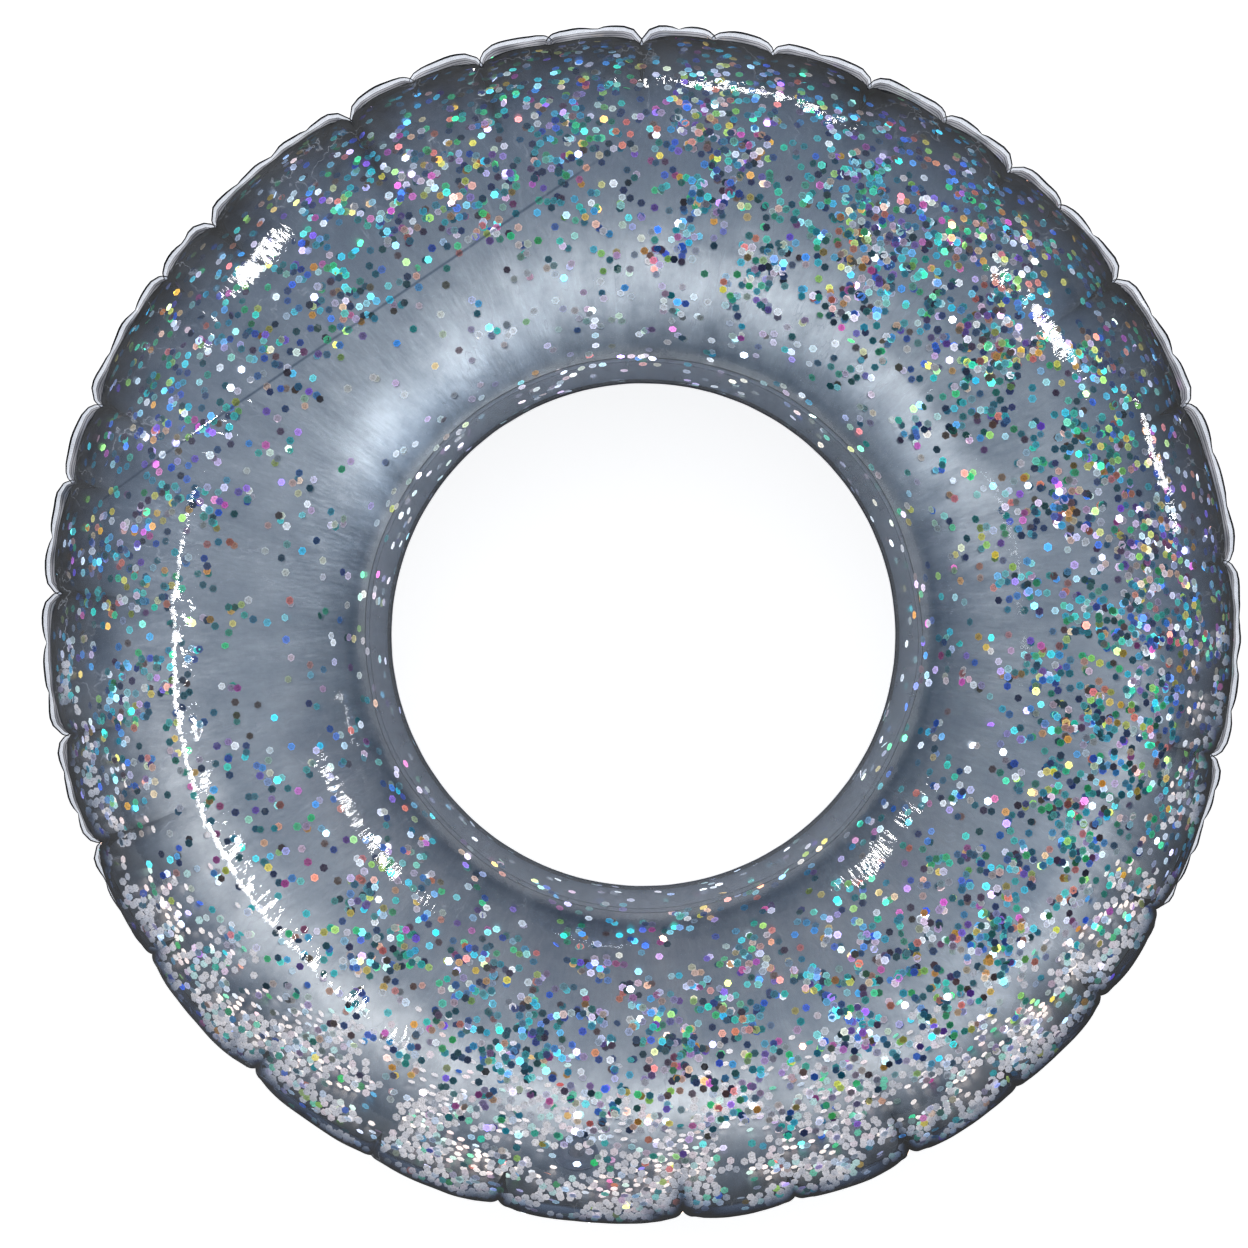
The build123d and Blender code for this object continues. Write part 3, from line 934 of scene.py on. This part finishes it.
def scattered_flakes():
    """The flakes that cling to the film all round."""
    count = 20 * SCATTERED
    turn, tilt = waves.uniform(0, TAU, count), waves.uniform(0, math.pi, count)
    across = 0.5 + 0.5 * np.cos(tilt)
    dense = THINNEST + sum(p[4] * spot(turn, across, p) for p in GATHERINGS)
    for p in THIN_PLACES:
        dense *= 1 - p[4] * spot(turn, across, p)
    dense *= 1 + 0.9 * rolling(turn, tilt, wave_set(30, (5, 40), (2, 14), 1.0))
    dense *= THINNEST + (1 - THINNEST) * across  # less wall lies near the hole
    in_hem = across < HEM_WIDTH
    dense *= np.where(in_hem, 0.5, 1.0)
    dense *= 1 - 0.55 * low_side(turn) * np.clip((across - 0.7) / 0.15, 0, 1)
    chance = waves.uniform(0, 1, count)
    dull = low_side(turn) * np.clip((across - 0.6) / 0.2, 0, 1)
    dark_share = (0.17 + 0.12 * across) * (1 - 0.8 * dull)
    dark, painted_sparkle = (chance < dark_share) & ~in_hem, (chance > 0.93) & ~in_hem
    phase = 1.3 * rolling(turn, tilt, wave_set(14, (2, 12), (1, 5), 1.0)) + waves.normal(0, 0.17, count)
    tint = choose(dark, pick(DARK_TINTS, count), pick_near(BRIGHT_TINTS, phase))
    pale = 0.85 * np.clip((0.45 - across) / 0.2, 0, 1) * spot(turn, 0, PALE_SIDE) + 0.7 * dull
    tint = choose(in_hem | (waves.uniform(0, 1, count) < pale), pick(SILVER_TINTS, count), tint)
    # Painted glow: emission that stands in for the flakes' sparkle, strongest on the few that stand for
    # glints.
    painted_glow = np.where(dark, 0.9, waves.uniform(0.35, 1.5, count))
    painted_glow = np.where(painted_sparkle, waves.uniform(2.5, 6.0, count), painted_glow)
    front = waves.uniform(0, 1, count) < UPPER_SHARE
    flakes = {
        "turn": turn,
        "tilt": np.where(front, tilt, -tilt),
        "depth": waves.uniform(0.7, 2.2, count) * MM,
        "lean": waves.normal(0, 1, count) * np.where(waves.uniform(0, 1, count) < 0.12, 0.35, 0.07),
        "tint": varied(tint, 0.55 - 0.4 * across),
        # painted glow, stronger near the rim and near the hole
        "painted_glow": painted_glow * (1 + 1.4 * np.cos(tilt) ** 4),
        "levelled": np.zeros(count),
    }
    return kept_flakes(flakes, waves.uniform(0, 3.2, count) < dense, SCATTERED)


def drifted_flakes():
    """The flakes that have slid to the -Y side, where they lie close together."""
    count = 12 * DRIFTED
    turn = np.radians(waves.normal(DRIFT_TURN, DRIFT_SPREAD, count)) % TAU
    below = np.maximum(0, -np.sin(turn))
    spread = (12 + 34 * below ** 2) * 0.55
    tilt = np.radians(15 + np.abs(19 * below + spread * waves.normal(0, 1, count)))
    keep = waves.uniform(0, 1, count) < 1.05 * np.sqrt(below)
    keep &= tilt < math.radians(80)
    silver = waves.uniform(0, 1, count) < 0.90
    clumps = 0.3 + 1.1 * rolling(turn, tilt, wave_set(30, (8, 50), (3, 18), 1.0))
    keep &= waves.uniform(0, 1, count) < clumps
    passed = np.array(UPPER_PASS) ** np.minimum(seen_through(tilt), MOST_FILM)[:, None]
    flakes = {
        "turn": turn,
        "tilt": np.where(waves.uniform(0, 1, count) < DRIFT_FRONT, tilt, -tilt),
        "depth": waves.uniform(2.6, 4.5, count) * MM,
        "lean": waves.normal(0, 0.10, count),
        "tint": choose(silver, pick(SILVER_TINTS, count), varied(pick(BRIGHT_TINTS, count), 0.3))
        * passed[:, 1:2] / passed,
        # painted glow, raised to make up for the light that the film above them takes away
        "painted_glow": waves.uniform(0.9, 1.15, count) * np.minimum(DRIFT_PAINTED_GLOW / passed[:, 1], MOST_PAINTED_GLOW),
        "levelled": np.full(count, LEVELLED),
    }
    return spaced(kept_flakes(flakes, keep), DRIFTED)


def clear_of_valve(flakes):
    """Leaves out the flakes that would touch the valve."""
    offset = wall(flakes["turn"], flakes["tilt"]) - np.array(valve_origin)
    return kept_flakes(flakes, np.linalg.norm(offset, axis=1) > VALVE_KEEP_OUT)


# The rim and the middle of a flake: share of its radius, and shade when scattered and in the drift.
FLAKE_RINGS = ((1.0, 1.15, 1.0), (INNER_SHARE, 0.72, 0.97))
FLAKE_POINTS = 6 * len(FLAKE_RINGS)


def flake_frames(flakes, middle):
    """The two directions across each flake and the one out of it."""
    turn, tilt, depth = flakes["turn"], flakes["tilt"], flakes["depth"]
    step = 2e-3
    along = unit_rows(wall(turn + step, tilt, depth) - middle)
    out = unit_rows(np.cross(along, wall(turn, tilt + step, depth) - middle))
    over = np.cross(out, along)
    spin = waves.uniform(0, TAU, len(turn))
    first = along * np.cos(spin)[:, None] + over * np.sin(spin)[:, None]
    out = unit_rows(out + (np.array((0, 0, 1.0)) - out) * flakes["levelled"][:, None])
    first = square_to(first, out)
    out = unit_rows(out + first * flakes["lean"][:, None])
    first = square_to(first, out)
    return first, np.cross(out, first), out


def flake_piece(name, flakes, *nodes):
    """Hexagons lying on the inside of the film: each is slightly cupped, with a darker middle."""
    count = len(flakes["turn"])
    middle = wall(flakes["turn"], flakes["tilt"], flakes["depth"])
    first, second, out = flake_frames(flakes, middle)
    cup = waves.uniform(-0.18, 0.18, count) * MM
    bend = waves.uniform(-1, 1, count) * 22.0  # per metre
    size = FLAKE_RADIUS * waves.uniform(0.94, 1.05, count)
    points = np.empty((count, FLAKE_POINTS, 3))
    tints = np.ones((count, FLAKE_POINTS, 4))
    for ring, (share, scattered_shade, drift_shade) in enumerate(FLAKE_RINGS):
        for corner in range(6):
            x = size * share * math.cos(corner * TAU / 6)
            y = size * share * math.sin(corner * TAU / 6)
            z = bend * x * x + cup * ring
            place = middle + first * x[:, None] + second * y[:, None] + out * z[:, None]
            points[:, ring * 6 + corner] = place
        shade = np.where(flakes["levelled"] > 0, drift_shade, scattered_shade)
        tints[:, ring * 6:ring * 6 + 6, :3] = (flakes["tint"] * shade[:, None])[:, None, :]
    points[..., 2] = np.maximum(points[..., 2], FLAKE_LIFT)
    faces = []
    for start in range(0, FLAKE_POINTS * count, FLAKE_POINTS):
        for corner in range(6):
            after = (corner + 1) % 6
            faces.append((start + corner, start + after, start + 6 + after, start + 6 + corner))
        faces.append(tuple(range(start + 6, start + 12)))
    piece = mesh_piece(name, points.reshape(-1, 3), faces, [flake_film])
    piece.data.polygons.foreach_set("use_smooth", [False] * len(faces))
    add_attribute(piece, "flake_tint", "FLOAT_COLOR", tints)
    add_attribute(piece, "flake_painted_glow", "FLOAT", np.repeat(flakes["painted_glow"], FLAKE_POINTS))
    return finish_piece(piece, "ring", "glitter", *nodes)


scattered = clear_of_valve(scattered_flakes())
drifted = clear_of_valve(drifted_flakes())
flake_piece("flakes_on_upper_film", kept_flakes(scattered, scattered["tilt"] > 0), "glitter_flakes")
flake_piece("flakes_on_lower_film", kept_flakes(scattered, scattered["tilt"] <= 0))
flake_piece("flakes_in_drift", drifted)


# ---- floor, lights and camera
FLOOR_SIZE = 18.0
CAMERA_DISTANCE = 3.5
VIEW_WIDTH = 1.113  # of the whole view, at the height of the outer weld
VIEW_LEFT = 0.0156  # the ring sits this far right of the view's middle
SENSOR = 36.0  # mm
STUDIO_DARK, STUDIO_BRIGHT = 0.06, 0.85
WARM = (1, 0.885, 0.735)
MIDDLE = (0, 0, seam)


def add_floor():
    """A wide plain floor, just under the ring."""
    bpy.ops.mesh.primitive_plane_add(size=FLOOR_SIZE, location=(0, 0, -0.3 * MM))
    floor = bpy.context.active_object
    floor.name = "floor"
    floor.data.materials.append(floor_material())


def area_light(name, place, along, width, height, power, lit, colour=(1, 1, 1), target=MIDDLE,
               spread=180):
    """A softbox that faces a target and lights a group. along is the turn of its width in degrees."""
    data = bpy.data.lights.new(name, "AREA")
    data.shape = "RECTANGLE"
    data.size, data.size_y = width, height
    data.energy = power
    data.color = colour
    data.spread = math.radians(spread)
    light = bpy.data.objects.new(name, data)
    light.location = place
    away = (Vector(place) - Vector(target)).normalized()
    side = Vector((math.cos(math.radians(along)), math.sin(math.radians(along)), 0))
    side = (side - away * side.dot(away)).normalized()
    light.rotation_euler = Matrix((side, away.cross(side), away)).transposed().to_euler()
    bpy.context.scene.collection.objects.link(light)
    light.light_linking.receiver_collection = lit


def lit_group(name, pieces):
    """The pieces that a group of lights falls on."""
    group = bpy.data.collections.new(name)
    for piece in pieces:
        group.objects.link(piece)
    return group


def around(turn, tilt, distance):
    """A place this far from the ring's middle. turn and tilt from straight up are in degrees."""
    turn, tilt = math.radians(turn), math.radians(tilt)
    way = Vector((math.sin(tilt) * math.cos(turn), math.sin(tilt) * math.sin(turn), math.cos(tilt)))
    return Vector(MIDDLE) + way * distance


def add_world():
    """A pale studio, brighter on the +Y side."""
    world = bpy.data.worlds.new("studio")
    world.use_nodes = True
    tree = world.node_tree
    tree.nodes.clear()
    place = tree.nodes.new("ShaderNodeTexCoord").outputs["Generated"]
    split = node(tree, "ShaderNodeSeparateXYZ", in_Vector=place)
    level = ramp(tree, split.outputs["Y"], -0.5, 0.8, STUDIO_DARK, STUDIO_BRIGHT)
    back = node(tree, "ShaderNodeBackground", in_Color=(0.97, 0.985, 1.0, 1), in_Strength=level)
    out = tree.nodes.new("ShaderNodeOutputWorld")
    tree.links.new(back.outputs[0], out.inputs["Surface"])
    bpy.context.scene.world = world


def add_camera():
    """Straight above the ring, with +Y up in the view."""
    data = bpy.data.cameras.new("camera")
    data.sensor_width = SENSOR
    data.lens = SENSOR * CAMERA_DISTANCE / VIEW_WIDTH
    camera = bpy.data.objects.new("camera", data)
    camera.location = (-VIEW_LEFT, 0, seam + CAMERA_DISTANCE)
    bpy.context.scene.collection.objects.link(camera)
    bpy.context.scene.camera = camera


add_camera()
add_floor()
add_world()
pieces = [p for p in bpy.context.scene.objects if p.type == "MESH" and not p.name.startswith("floor")]
upper_only = lit_group("lit_upper_film", [p for p in pieces if p.name.startswith("upper_film")])
lower_only = lit_group("lit_inside", [p for p in pieces if p.name.startswith("lower_film")])
all_others = lit_group("lit_outside", [p for p in pieces if not p.name.startswith("lower_film")])
area_light("upper_right_box", around(37, 54, 3.2), 127, 0.26, 0.55, 22, all_others)
area_light("upper_left_box", around(138, 72, 3.2), 48, 0.34, 0.80, 40, all_others)
area_light("left_strip", (-1.4, -0.65, 2.45), 90, 2.0, 0.60, 14, upper_only,
           target=(-0.75, -0.30, seam), spread=37)
area_light("right_box", around(17, 85, 3.2), 107, 0.50, 0.28, 18, all_others)
area_light("top_box", around(79, 86, 3.4), 169, 0.9, 0.22, 30, all_others)
area_light("glow_upper_left", around(138, 76, 2.6), 48, 1.6, 2.3, 420, lower_only, WARM)
area_light("glow_upper", around(90, 50, 2.6), 0, 1.5, 2.3, 150, lower_only, WARM)
area_light("glow_right", around(36, 58, 2.8), 126, 1.2, 2.3, 175, lower_only, WARM)
area_light("glow_left", around(190, 28, 2.8), 100, 1.0, 0.4, 16, lower_only, WARM)
bpy.context.scene.view_settings.view_transform = "Standard"
